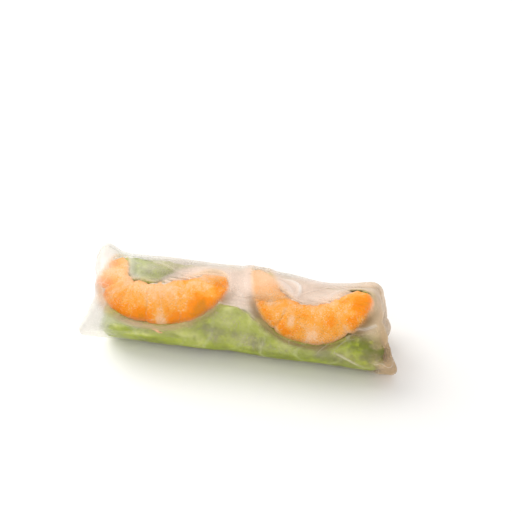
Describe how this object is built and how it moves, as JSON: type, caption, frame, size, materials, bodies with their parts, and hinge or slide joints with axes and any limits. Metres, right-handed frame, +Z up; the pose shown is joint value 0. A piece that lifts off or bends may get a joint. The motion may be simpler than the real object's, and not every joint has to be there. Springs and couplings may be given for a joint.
{
  "type": "rice paper roll",
  "caption": "Rice paper roll lying on its side: a soft see-through wrapper with closed ends, round prawns, lettuce and rice noodles.",
  "frame": {"origin": "middle of the bounding box's base, on the surface that the roll rests on", "axes": "+X along the roll, towards the end whose front foot leans out; -Y the front, where the prawns show; +Z up"},
  "size_m": [0.1268, 0.0366, 0.0322],
  "materials": {
    "rice_paper": "wet and see-through, milky where it lies double",
    "lettuce": "crinkled leaf",
    "noodles": "moist",
    "prawn": "cooked, mottled orange on pale flesh"
  },
  "bodies": {
    "root": {"rice_paper": "rice_paper", "lettuce": "lettuce", "noodles": "noodles", "prawn_left": "prawn", "prawn_right": "prawn"}
  },
  "joints": []
}
